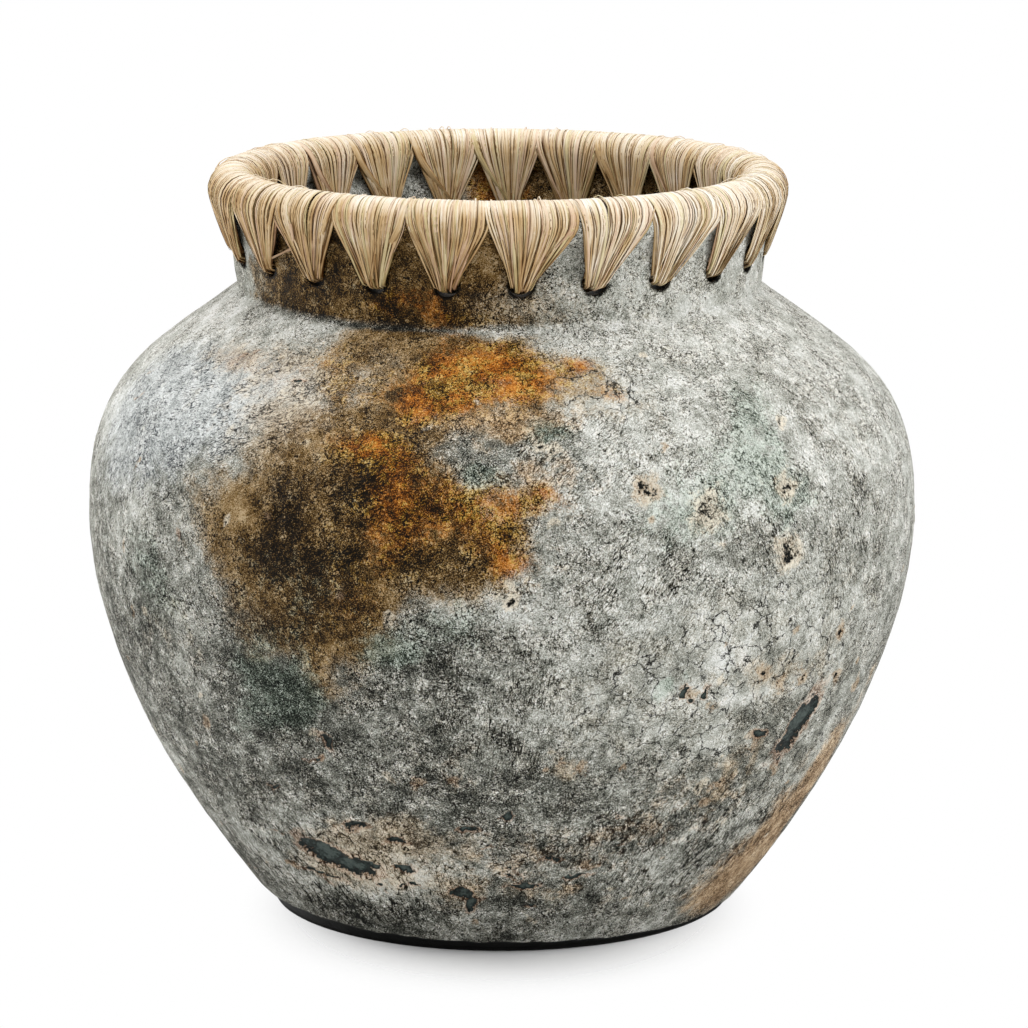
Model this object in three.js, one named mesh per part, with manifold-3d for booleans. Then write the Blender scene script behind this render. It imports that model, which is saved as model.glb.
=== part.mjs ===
// A squat, wide-mouthed clay vase whose thick rolled lip is bound with fans of raffia.
// Millimetres, +Z up. The origin is the centre of the foot, and the front faces -Y.
import * as THREE from "three";
import { mergeVertices } from "three/addons/utils/BufferGeometryUtils.js";
import Module from "manifold-3d";

// Clay body, outside. A pull is a handle of the curve that leads to or from the point named.
const footRadius = 86;
const footPull = { r: 89.7, z: 0 };
const flankStart = { r: 91, z: 1.5 };
const flankPull = { r: 105.5, z: 18.5 };
const bellyRadius = 160;
const bellyHeight = 156;
const bellyPullDown = 88.5;
const bellyPullUp = 210;
const shoulderPull = { r: 133, z: 217.5 };
const shoulderEnd = { r: 103, z: 240.6 };
const crease = { r: 100.8, z: 242 };

// Clay body, inside
const bellyWall = 10.5;
const floorThickness = 13;
const floorRadius = 72;
const floorPull = { r: 79.5, z: floorThickness };
const innerFlankEnd = { r: 86, z: 20 };
const innerFlankPull = { r: 99.5, z: 34 };
const innerBellyPullDown = 92;
const innerBellyPullUp = 204;
const innerShoulderPull = { r: 124, z: 211 };
const innerShoulderEnd = { r: 95, z: 232 };
const innerCreaseHeight = 240;
const neckInnerRadius = 93.2;

// Pierced neck and rolled lip
const fanCount = 23;
const fanOffsetDegrees = 5;
const holeRadius = 5;
const holeHeight = 257.5;
const drillLength = 37;
const neckRadiusAtHoles = 102.4;
const neckPull = { r: 103, z: 266 };
const innerNeckPull = { r: 93.5, z: 266 };
const lipRadius = 8.2;
const lipCentre = { r: 101.6, z: 279 };
const lipUndercutDegrees = 62;

// Raffia binding: each fan is one strand wound through its hole and over the lip
const loopsPerFan = 7;
const lipStations = 6;
const lipReachDegrees = 8;
const bindingRadius = 11.5;
const clayClearance = 0.4;
const mouthShare = 0.1; // of a loop's turn, from the middle of the hole to its mouth
const lipShare = 0.2; // of a loop's turn, from the middle of the hole to the lip
const strandHeightInHole = 258.5;
const strandPitchInHole = 1.1;
const strandGap = 0.6;
const strandThicknessInHole = 1;
const mouthClearance = 0.6;
const innerMouthClearance = 1.3;

const clayColour = 0x8b8983;
const raffiaColour = 0xd2bd98;
const latheSegments = 64;
const holeSides = 10;
const fanPitch = (2 * Math.PI) / fanCount;

const wasm = await Module();
wasm.setup();

const at = (r, z) => new THREE.Vector2(r, z);
const spotAt = ({ r, z }) => at(r, z);
const onLip = (angle, radius) =>
  at(lipCentre.r + radius * Math.cos(angle), lipCentre.z + radius * Math.sin(angle));

// Half-section of the clay from the middle of the foot, up the outside, over the lip
// and down the inside to the middle of the floor. Each stretch has its own number of steps.
function clayOutline() {
  const foot = at(footRadius, 0);
  const flank = spotAt(flankStart);
  const belly = at(bellyRadius, bellyHeight);
  const bellyDown = at(bellyRadius, bellyPullDown);
  const bellyUp = at(bellyRadius, bellyPullUp);
  const shoulder = spotAt(shoulderEnd);
  const neckFoot = spotAt(crease);
  const neck = at(neckRadiusAtHoles, holeHeight);
  const undercut = THREE.MathUtils.degToRad(lipUndercutDegrees);
  const lipStart = onLip(-undercut, lipRadius);
  const lipEnd = onLip(Math.PI + undercut, lipRadius);
  const innerNeck = at(neckInnerRadius, holeHeight);
  const innerCrease = at(neckInnerRadius, innerCreaseHeight);
  const innerShoulder = spotAt(innerShoulderEnd);
  const innerBelly = at(bellyRadius - bellyWall, bellyHeight);
  const innerUp = at(innerBelly.x, innerBellyPullUp);
  const innerDown = at(innerBelly.x, innerBellyPullDown);
  const innerFlank = spotAt(innerFlankEnd);
  const floorEdge = at(floorRadius, floorThickness);
  const roll = new THREE.EllipseCurve(
    lipCentre.r, lipCentre.z, lipRadius, lipRadius, -undercut, Math.PI + undercut,
  );
  const stretches = [
    [new THREE.LineCurve(at(0, 0), foot), 1],
    [new THREE.QuadraticBezierCurve(foot, spotAt(footPull), flank), 2],
    [new THREE.CubicBezierCurve(flank, spotAt(flankPull), bellyDown, belly), 7],
    [new THREE.CubicBezierCurve(belly, bellyUp, spotAt(shoulderPull), shoulder), 7],
    [new THREE.LineCurve(shoulder, neckFoot), 1],
    [new THREE.LineCurve(neckFoot, neck), 1],
    [new THREE.QuadraticBezierCurve(neck, spotAt(neckPull), lipStart), 2],
    [roll, 7],
    [new THREE.QuadraticBezierCurve(lipEnd, spotAt(innerNeckPull), innerNeck), 2],
    [new THREE.LineCurve(innerNeck, innerCrease), 1],
    [new THREE.LineCurve(innerCrease, innerShoulder), 1],
    [new THREE.CubicBezierCurve(innerShoulder, spotAt(innerShoulderPull), innerUp, innerBelly), 5],
    [new THREE.CubicBezierCurve(innerBelly, innerDown, spotAt(innerFlankPull), innerFlank), 5],
    [new THREE.QuadraticBezierCurve(innerFlank, spotAt(floorPull), floorEdge), 2],
    [new THREE.LineCurve(floorEdge, at(0, floorThickness)), 1],
  ];
  return stretches.flatMap(([curve, steps], i) => curve.getPoints(steps).slice(i === 0 ? 0 : 1));
}

// A closed geometry as a solid that can be cut, without the empty triangles on the axis.
function solidOf(geometry) {
  geometry.deleteAttribute("normal");
  geometry.deleteAttribute("uv");
  const merged = mergeVertices(geometry);
  const corners = merged.index.array;
  const triangles = [];
  for (let i = 0; i < corners.length; i += 3) {
    const [a, b, c] = corners.slice(i, i + 3);
    if (a !== b && b !== c && c !== a) triangles.push(a, b, c);
  }
  return new wasm.Manifold(
    new wasm.Mesh({
      numProp: 3,
      vertProperties: merged.attributes.position.array,
      triVerts: new Uint32Array(triangles),
    }),
  );
}

function geometryOf(solid) {
  const mesh = solid.getMesh();
  const geometry = new THREE.BufferGeometry();
  geometry.setAttribute("position", new THREE.BufferAttribute(mesh.vertProperties, 3));
  geometry.setIndex(new THREE.BufferAttribute(mesh.triVerts, 1));
  geometry.computeVertexNormals();
  return geometry;
}

// Angle of a hole and its fan about the axis, counted from +X; the front is at -Y.
function fanAngle(index) {
  return THREE.MathUtils.degToRad(fanOffsetDegrees - 90) + index * fanPitch;
}

function makeVessel() {
  let clay = solidOf(new THREE.LatheGeometry(clayOutline(), latheSegments).rotateX(Math.PI / 2));
  for (let i = 0; i < fanCount; i++) {
    const drill = new THREE.CylinderGeometry(holeRadius, holeRadius, drillLength, holeSides)
      .rotateY(Math.PI / holeSides)
      .rotateZ(Math.PI / 2)
      .translate((neckRadiusAtHoles + neckInnerRadius) / 2, 0, holeHeight)
      .rotateZ(fanAngle(i));
    clay = clay.subtract(solidOf(drill));
  }
  const material = new THREE.MeshStandardMaterial({ color: clayColour, roughness: 0.85, metalness: 0 });
  const vessel = new THREE.Mesh(geometryOf(clay), material);
  vessel.name = "vessel";
  return vessel;
}

// The stations of one loop in half-section, from the middle of the hole out of the neck,
// up over the lip and back down the inside. The points are the strand's flat under side.
function loopStations() {
  const stretch = Math.PI + 2 * THREE.MathUtils.degToRad(lipReachDegrees);
  const turn = stretch / (lipStations - 1);
  const underRadius = (lipRadius + clayClearance) / Math.cos(turn / 2);
  const hole = { pitch: strandPitchInHole, thickness: strandThicknessInHole };
  const outerMouth = neckRadiusAtHoles + mouthClearance;
  const innerMouth = neckInnerRadius - innerMouthClearance;
  const middle = (outerMouth + innerMouth) / 2;
  const stations = [
    { share: 0, point: at(middle, strandHeightInHole), ...hole },
    { share: mouthShare, point: at(outerMouth, strandHeightInHole), ...hole },
  ];
  for (let i = 0; i < lipStations; i++) {
    const point = onLip(i * turn - THREE.MathUtils.degToRad(lipReachDegrees), underRadius);
    stations.push({
      share: THREE.MathUtils.lerp(lipShare, 1 - lipShare, i / (lipStations - 1)),
      point,
      pitch: (fanPitch / loopsPerFan) * point.x,
      thickness: bindingRadius - underRadius,
    });
  }
  stations.push({ share: 1 - mouthShare, point: at(innerMouth, strandHeightInHole), ...hole });
  stations.forEach((station, i) => {
    const before = stations[(i + stations.length - 1) % stations.length].point;
    const after = stations[(i + 1) % stations.length].point;
    const arriving = station.point.clone().sub(before).normalize();
    const leaving = after.clone().sub(station.point).normalize();
    const along = arriving.clone().add(leaving).normalize();
    const outward = at(along.y, -along.x);
    station.ridge = station.point
      .clone()
      .addScaledVector(outward, station.thickness / along.dot(leaving));
  });
  return stations;
}

// The three corners of the strand where it passes a station on a given loop.
function strandCorners(station, loop) {
  const { point, ridge, pitch, share } = station;
  const angle = ((loop + share - loopsPerFan / 2) * pitch) / point.x;
  const half = (pitch - strandGap) / 2 / point.x;
  const spot = ({ x, y }, turn) => new THREE.Vector3(x * Math.cos(turn), x * Math.sin(turn), y);
  return [spot(point, angle - half), spot(point, angle + half), spot(ridge, angle)];
}

// One unbroken strand of three sides, wound loop after loop, with its ends inside the hole.
function windingRings() {
  const stations = loopStations();
  const rings = [];
  for (let loop = 0; loop < loopsPerFan; loop++) {
    for (const station of stations) {
      rings.push({ turn: loop + station.share, corners: strandCorners(station, loop) });
    }
  }
  rings.push({ turn: loopsPerFan, corners: strandCorners(stations[0], loopsPerFan) });
  return rings;
}

function windingGeometry(rings) {
  const triangles = [0, 1, 2];
  for (let i = 0; i + 1 < rings.length; i++) {
    for (let side = 0; side < 3; side++) {
      const a = 3 * i + side;
      const b = 3 * i + ((side + 1) % 3);
      triangles.push(a, a + 3, b, b, a + 3, b + 3);
    }
  }
  const last = 3 * (rings.length - 1);
  triangles.push(last, last + 2, last + 1);
  const geometry = new THREE.BufferGeometry();
  geometry.setFromPoints(rings.flatMap((ring) => ring.corners));
  geometry.setIndex(triangles);
  geometry.computeVertexNormals();
  return geometry;
}

// Least distance between points of a winding that lie on different loops, over half a turn apart.
function leastGap(rings, pointsPerStep = 6, turnsApart = 0.5) {
  const points = [];
  for (let i = 0; i + 1 < rings.length; i++) {
    for (let j = 0; j < pointsPerStep; j++) {
      const part = j / pointsPerStep;
      const turn = THREE.MathUtils.lerp(rings[i].turn, rings[i + 1].turn, part);
      const corners = rings[i].corners.map((c, k) => c.clone().lerp(rings[i + 1].corners[k], part));
      for (let k = 0; k < 3; k++) {
        points.push({ turn, spot: corners[k] });
        points.push({ turn, spot: corners[k].clone().lerp(corners[(k + 1) % 3], 0.5) });
      }
    }
  }
  let least = Infinity;
  for (const a of points) {
    for (const b of points) {
      if (b.turn - a.turn > turnsApart) least = Math.min(least, a.spot.distanceTo(b.spot));
    }
  }
  return least;
}

function makeFan(index, geometry) {
  const material = new THREE.MeshStandardMaterial({ color: raffiaColour, roughness: 0.6, metalness: 0 });
  const fan = new THREE.Mesh(geometry, material);
  fan.name = `raffia_fan_${String(index + 1).padStart(2, "0")}`;
  fan.rotation.z = fanAngle(index);
  return fan;
}

const vase = new THREE.Group();
vase.add(makeVessel());
const rings = windingRings();
const fanGeometry = windingGeometry(rings);
for (let i = 0; i < fanCount; i++) vase.add(makeFan(i, fanGeometry));
console.log(`least gap of a raffia winding to itself: ${leastGap(rings).toFixed(2)} mm`);

export default vase;
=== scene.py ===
import math
import bpy
import numpy as np
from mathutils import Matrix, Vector


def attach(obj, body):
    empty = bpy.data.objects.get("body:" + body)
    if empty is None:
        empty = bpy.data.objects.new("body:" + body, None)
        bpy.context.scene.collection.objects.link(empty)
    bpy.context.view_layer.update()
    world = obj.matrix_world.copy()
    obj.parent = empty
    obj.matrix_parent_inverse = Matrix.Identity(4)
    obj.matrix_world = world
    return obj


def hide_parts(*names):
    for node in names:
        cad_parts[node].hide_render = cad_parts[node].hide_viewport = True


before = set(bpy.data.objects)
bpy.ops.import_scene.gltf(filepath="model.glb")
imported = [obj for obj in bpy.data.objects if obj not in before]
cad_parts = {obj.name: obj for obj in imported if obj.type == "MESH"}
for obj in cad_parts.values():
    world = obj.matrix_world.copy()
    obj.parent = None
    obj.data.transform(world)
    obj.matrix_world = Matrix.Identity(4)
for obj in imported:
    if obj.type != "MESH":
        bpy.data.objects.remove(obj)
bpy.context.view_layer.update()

mm = 0.001
scene = bpy.context.scene
scene.view_settings.view_transform = 'Standard'


# camera, seen from the front and a little above

cameraSet = {
    "place": (0.0048, -1.984, 0.549),
    "tiltDown": 11.34,  # degrees
    "lens": 182.1,  # mm on a sensor of the width below
    "sensor": 36,
}


def placeCamera():
    data = bpy.data.cameras.new("photoCamera")
    data.lens = cameraSet["lens"]
    data.sensor_width = cameraSet["sensor"]
    camera = bpy.data.objects.new("photoCamera", data)
    camera.location = cameraSet["place"]
    camera.rotation_euler = (math.radians(90 - cameraSet["tiltDown"]), 0, 0)
    scene.collection.objects.link(camera)
    scene.camera = camera


placeCamera()
print("camera placed")


# small tools for shapes; all shape work is in millimetres until a mesh is made

def smoothStep(low, high, value):
    t = np.clip((value - low) / (high - low), 0, 1)
    return t * t * (3 - 2 * t)


def lumps(points, size, seed):  # smooth noise from -1 to 1, about one lump per size
    q = points / size + seed * 17.31
    cell = np.floor(q).astype(np.int64)
    t = q - cell
    t = t * t * t * (t * (t * 6 - 15) + 10)
    total = np.zeros(len(points))
    for corner in range(8):
        step = np.array([corner & 1, corner >> 1 & 1, corner >> 2 & 1])
        key = cell + step  # large odd factors shuffle the corners' numbers
        mixed = key[:, 0] * 374761393 + key[:, 1] * 668265263 + key[:, 2] * 1440662683 + seed * 97931
        mixed = (mixed ^ (mixed >> 13)) * 1274126177
        value = ((mixed ^ (mixed >> 16)) & 65535) / 32767.5 - 1
        total += value * np.prod(np.where(step, t, 1 - t), axis=1)
    return total


def layeredLumps(points, size, seed, layers=4, fall=0.55):
    total = np.zeros(len(points))
    strength = 1.0
    for layer in range(layers):
        total += strength * lumps(points, size / 2 ** layer, seed + layer)
        strength *= fall
    return total


def sampleCurve(points, spacing):  # Bezier curve of any degree, cut into even steps
    points = np.array(points, float)
    t = np.linspace(0, 1, 400)[:, None]
    degree = len(points) - 1
    dense = sum(math.comb(degree, k) * (1 - t) ** (degree - k) * t ** k * points[k]
                for k in range(degree + 1))
    length = np.concatenate([[0], np.cumsum(np.hypot(*np.diff(dense, axis=0).T))])
    steps = max(1, round(length[-1] / spacing))
    marks = np.linspace(0, length[-1], steps + 1)
    return np.stack([np.interp(marks, length, dense[:, k]) for k in (0, 1)], axis=1)


def cellUv(left, right, low, high):  # the corners of every cell, in the order of its face
    corners = [(left, low), (right, low), (right, high), (left, high)]
    return np.stack([np.stack(corner, -1) for corner in corners], axis=-2).reshape(-1, 2)


def gridFaces(j, i, around):  # the corners of cells in rows that close on themselves
    n = (i + 1) % around
    corners = [j * around + i, j * around + n, (j + 1) * around + n, (j + 1) * around + i]
    return np.stack(corners, axis=-1).reshape(-1, 4)


def makeMesh(name, points, quads, extraFaces, fields, uv):
    mesh = bpy.data.meshes.new(name)
    corners = [np.asarray(quads).ravel()] + [np.asarray(f) for f in extraFaces]
    counts = np.concatenate([np.full(len(quads), 4), [len(f) for f in extraFaces]]).astype(np.int32)
    loops = np.concatenate(corners).astype(np.int32)
    mesh.vertices.add(len(points))
    mesh.loops.add(len(loops))
    mesh.polygons.add(len(counts))
    mesh.vertices.foreach_set("co", (points * mm).astype(np.float32).ravel())
    mesh.loops.foreach_set("vertex_index", loops)
    starts = np.concatenate([[0], np.cumsum(counts)[:-1]]).astype(np.int32)
    mesh.polygons.foreach_set("loop_start", starts)
    mesh.polygons.foreach_set("loop_total", counts)
    mesh.polygons.foreach_set("use_smooth", np.ones(len(counts), dtype=bool))
    for fieldName, values in fields.items():
        layer = mesh.attributes.new(fieldName, 'FLOAT_COLOR', 'POINT')
        layer.data.foreach_set("color", np.asarray(values, np.float32).ravel())
    layer = mesh.uv_layers.new(name="OFBake", do_init=False)
    layer.data.foreach_set("uv", np.asarray(uv, np.float32).ravel())
    mesh.update()
    piece = bpy.data.objects.new(name, mesh)
    scene.collection.objects.link(piece)
    return piece


# small tools for finishes

def paint(red, green, blue):  # a screen colour as the shader takes it
    return tuple(((c / 255 + 0.055) / 1.055) ** 2.4 if c > 10 else c / 255 / 12.92
                 for c in (red, green, blue)) + (1,)


class Finish:
    def __init__(self, holder, shader="Principled BSDF"):
        self.holder = holder
        holder.use_nodes = True
        self.tree = holder.node_tree
        self.shader = self.tree.nodes[shader]

    def feed(self, socket, value):
        if isinstance(value, bpy.types.NodeSocket):
            self.tree.links.new(value, socket)
        else:
            socket.default_value = value

    def node(self, kind, **settings):
        made = self.tree.nodes.new(kind)
        for key, value in settings.items():
            setattr(made, key, value)
        return made

    def calc(self, operation, *values):
        made = self.node("ShaderNodeMath", operation=operation)
        for socket, value in zip(made.inputs, values):
            self.feed(socket, value)
        return made.outputs[0]

    def times(self, first, second):
        return self.calc('MULTIPLY', first, second)

    def without(self, value):  # what is left of 1
        return self.calc('SUBTRACT', 1, value)

    def total(self, start, *terms):  # start + each value times its weight
        for value, weight in terms:
            start = self.calc('MULTIPLY_ADD', value, weight, start)
        return start

    def texture(self, kind, place, size, **settings):  # size in millimetres
        made = self.node(kind, **settings)
        self.feed(made.inputs["Vector"], place)
        made.inputs["Scale"].default_value = 1 / (size * mm)
        return made

    def noise(self, place, size, detail=4, rough=0.6):  # centred on 0
        made = self.texture("ShaderNodeTexNoise", place, size)
        made.inputs["Detail"].default_value = detail
        made.inputs["Roughness"].default_value = rough
        return self.calc('SUBTRACT', made.outputs["Fac"], 0.5)

    def swirl(self, place, size, detail):  # three noises at once, as a vector
        made = self.texture("ShaderNodeTexNoise", place, size)
        made.inputs["Detail"].default_value = detail
        return made.outputs["Color"]

    def cells(self, place, size, feature='F1'):
        return self.texture("ShaderNodeTexVoronoi", place, size, feature=feature).outputs

    def shifted(self, place, vector, reach):  # place moved by a vector, up to about reach millimetres
        made = self.node("ShaderNodeVectorMath", operation='MULTIPLY_ADD')
        self.feed(made.inputs[0], vector)
        made.inputs[1].default_value = (reach * mm,) * 3
        self.feed(made.inputs[2], place)
        return made.outputs[0]

    def rise(self, value, low, high):
        made = self.node("ShaderNodeMapRange", interpolation_type='SMOOTHSTEP')
        self.feed(made.inputs["Value"], value)
        made.inputs["From Min"].default_value = low
        made.inputs["From Max"].default_value = high
        return made.outputs[0]

    def ramp(self, value, stops):
        made = self.node("ShaderNodeValToRGB")
        self.feed(made.inputs[0], value)
        elements = made.color_ramp.elements
        while len(elements) < len(stops):
            elements.new(0.5)
        for element, (position, colour) in zip(elements, stops):
            element.position = position
            element.color = paint(*colour)
        return made.outputs[0]

    def mix(self, share, first, second):  # of two colours
        made = self.node("ShaderNodeMix", data_type='RGBA')
        self.feed(made.inputs[0], share)
        self.feed(made.inputs[6], first)
        self.feed(made.inputs[7], second)
        return made.outputs[2]

    def blend(self, share, first, second):  # of two numbers
        made = self.node("ShaderNodeMix", data_type='FLOAT')
        self.feed(made.inputs[0], share)
        self.feed(made.inputs[2], first)
        self.feed(made.inputs[3], second)
        return made.outputs[0]

    def split(self, colour):
        made = self.node("ShaderNodeSeparateColor")
        self.feed(made.inputs[0], colour)
        return [made.outputs[k] for k in range(3)]

    def field(self, name):  # the four values stored under one name on the mesh
        made = self.node("ShaderNodeAttribute", attribute_name=name)
        return self.split(made.outputs["Color"]) + [made.outputs["Alpha"]]

    def vectorField(self, name):  # the first three of them as one vector, and the fourth
        made = self.node("ShaderNodeAttribute", attribute_name=name)
        return made.outputs["Vector"], made.outputs["Alpha"]

    def bump(self, height):  # height in millimetres
        made = self.node("ShaderNodeBump")
        self.feed(made.inputs["Height"], height)
        made.inputs["Distance"].default_value = mm
        self.feed(self.shader.inputs["Normal"], made.outputs[0])


# the clay vessel

claySet = {  # millimetres
    "underMiddle": (8, 0), "footEdge": (86, 0), "footRound": (89.7, 0),  # points by radius and height
    "flankStart": (91, 1.5), "flankPull": (105.5, 18.5), "bellyPullDown": (160, 88.5),
    "belly": (160, 156), "bellyPullUp": (160, 210), "shoulderPull": (133, 217.5), "shoulderEnd": (103, 240.6),
    "crease": (100.8, 242), "neck": (102.4, 257.5), "flare": (103, 266),
    "lipCentre": (101.6, 279), "lipRadius": 8.2, "lipUndercut": 62,  # the undercut in degrees
    "innerFlare": (93.5, 266), "innerNeck": (93.2, 257.5), "innerNeckFoot": (93.2, 240),
    "innerShoulder": (95, 232), "innerShoulderPull": (124, 211), "innerPullUp": (149.5, 204),
    "innerBelly": (149.5, 156), "innerPullDown": (149.5, 92), "innerFlankPull": (99.5, 34),
    "innerFlank": (86, 20), "floorPull": (79.5, 13), "floorEdge": (72, 13), "floorMiddle": (8, 13),
    "holeCount": 23, "firstHoleAngle": 5, "holeRadius": 5,
    "holeBlock": 5.4, "holeReach": 1.75, "holeWallSteps": 5,  # half its cells, and how far it bends more
    "shellUv": 0.94, "wallUv": (0.95, 0.04),  # heights in the picture, start and extent
    "cellsPerHole": 32,
    "skinStep": 1.3,
    "neckStep": 0.9,  # a hole spans a whole number of these
}
holePitch = 360 / claySet["holeCount"]
neckRadius, holeHeight = claySet["neck"]
innerNeckRadius = claySet["innerNeck"][0]

handSet = {"neckShift": 1.3, "neckTip": 0.12, "neckNod": 0.3, "from": 190, "to": 250}  # mm and degrees


def handLean(points):  # the neck of the thrown pot sits a little to one side and tips
    s = handSet
    lift = smoothStep(s["from"], s["to"], points[:, 2])
    leaned = points.copy()
    leaned[:, 0] -= s["neckShift"] * lift
    leaned[:, 2] -= points[:, 0] * math.tan(math.radians(s["neckTip"])) * lift
    leaned[:, 2] += points[:, 1] * math.tan(math.radians(s["neckNod"])) * lift
    return leaned


def lipPoint(degrees, radius):
    r, z = claySet["lipCentre"]
    return r + radius * math.cos(math.radians(degrees)), z + radius * math.sin(math.radians(degrees))


def clayCurve(step, *names):  # from the first to the last of the named points
    return sampleCurve([claySet[name] for name in names], step)


def flankAndShoulder(step):  # the outside from the foot up to the crease
    return [clayCurve(step, "flankStart", "flankPull", "bellyPullDown", "belly"),
            clayCurve(step, "belly", "bellyPullUp", "shoulderPull", "shoulderEnd")]


def clayRows():  # half-section from the foot up the outside, over the lip and down the inside
    s = claySet
    turns = np.linspace(-s["lipUndercut"], 180 + s["lipUndercut"], 26)
    roll = np.array([lipPoint(degrees, s["lipRadius"]) for degrees in turns])
    toLip = np.vstack([clayCurve(0.3, "crease", "neck"), sampleCurve([s["neck"], s["flare"], roll[0]], 0.3)])
    fromLip = np.vstack([clayCurve(0.3, "innerNeckFoot", "innerNeck"),
                         sampleCurve([s["innerNeck"], s["innerFlare"], roll[-1]], 0.3)])
    rowsBelow = int((holeHeight - s["crease"][1]) / s["neckStep"])
    neckRows = holeHeight + s["neckStep"] * np.arange(-rowsBelow, 12)
    above = np.arange(neckRows[-1] + 1, roll[0, 1] - 0.5, 1.2)
    neckHeights = np.concatenate([neckRows, above])

    def atNeckRows(line):
        return np.stack([np.interp(neckHeights, line[:, 1], line[:, 0]), neckHeights], axis=1)

    flank, shoulder = flankAndShoulder(s["skinStep"])
    parts = [
        ("under", clayCurve(6, "underMiddle", "footEdge")),
        ("skin", clayCurve(0.8, "footEdge", "footRound", "flankStart")),
        ("skin", flank),
        ("skin", shoulder),
        ("neck", atNeckRows(toLip)),
        ("lip", roll),
        ("inner", atNeckRows(fromLip)[::-1]),
        ("inside", clayCurve(3, "innerNeckFoot", "innerShoulder")),
        ("inside", clayCurve(4, "innerShoulder", "innerShoulderPull", "innerPullUp", "innerBelly")),
        ("inside", clayCurve(5, "innerBelly", "innerPullDown", "innerFlankPull", "innerFlank")),
        ("inside", clayCurve(3, "innerFlank", "floorPull", "floorEdge")),
        ("inside", clayCurve(8, "floorEdge", "floorMiddle")),
    ]
    rows, kinds = [], []
    for kind, points in parts:
        for point in points:
            if not rows or np.hypot(*(point - rows[-1])) > 0.05:
                rows.append(point)
                kinds.append(kind)
    return np.array(rows), np.array(kinds)


# stains, ridges and flakes are placed on the outside by their angle from the front and their height

skinLine = np.vstack(flankAndShoulder(2) + [claySet["crease"], claySet["neck"]])


def surfaceSpot(angle, height):  # a point of the outside, and the ways up and along the surface there
    r, ahead = np.interp((height, height + 3), skinLine[:, 1], skinLine[:, 0])
    turn = math.radians(angle)
    out = np.array([math.sin(turn), -math.cos(turn), 0])
    along = np.array([math.cos(turn), math.sin(turn), 0])
    rise = out * (ahead - r) + np.array([0, 0, 3])
    return out * r + np.array([0, 0, height]), rise / np.linalg.norm(rise), along


# 1 in the middle of a patch, 0 at its edge and below 0 outside; more corners make it squarer
def patch(points, angle, height, wide, tall, lean=0, corners=2):
    spot, rise, along = surfaceSpot(angle, height)
    turn = math.radians(lean)
    first = along * math.cos(turn) + rise * math.sin(turn)
    second = rise * math.cos(turn) - along * math.sin(turn)
    deep = max(wide, tall) + 12
    axes = np.stack([first / wide, second / tall, np.cross(along, rise) / deep], axis=1)
    shares = (points - spot) @ axes
    return 1 - np.sum(np.abs(shares) ** corners, axis=1) ** (1 / corners)


def softPatches(points, patches, low, high):  # the soft cover of each patch, and its strength
    for angle, height, wide, tall, strength, *lean in patches:
        yield smoothStep(low, high, patch(points, angle, height, wide, tall, *lean)), strength


def softSum(points, patches):
    return sum(strength * cover for cover, strength in softPatches(points, patches, -0.55, 0.75))


def softUnion(points, patches):  # from 0 to 1; a patch below 0 clears what came before it
    union = np.zeros(len(points))
    for cover, strength in softPatches(points, patches, -1.1, 0.8):
        union += strength * cover * (1 - union if strength > 0 else union)
    return union


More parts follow.
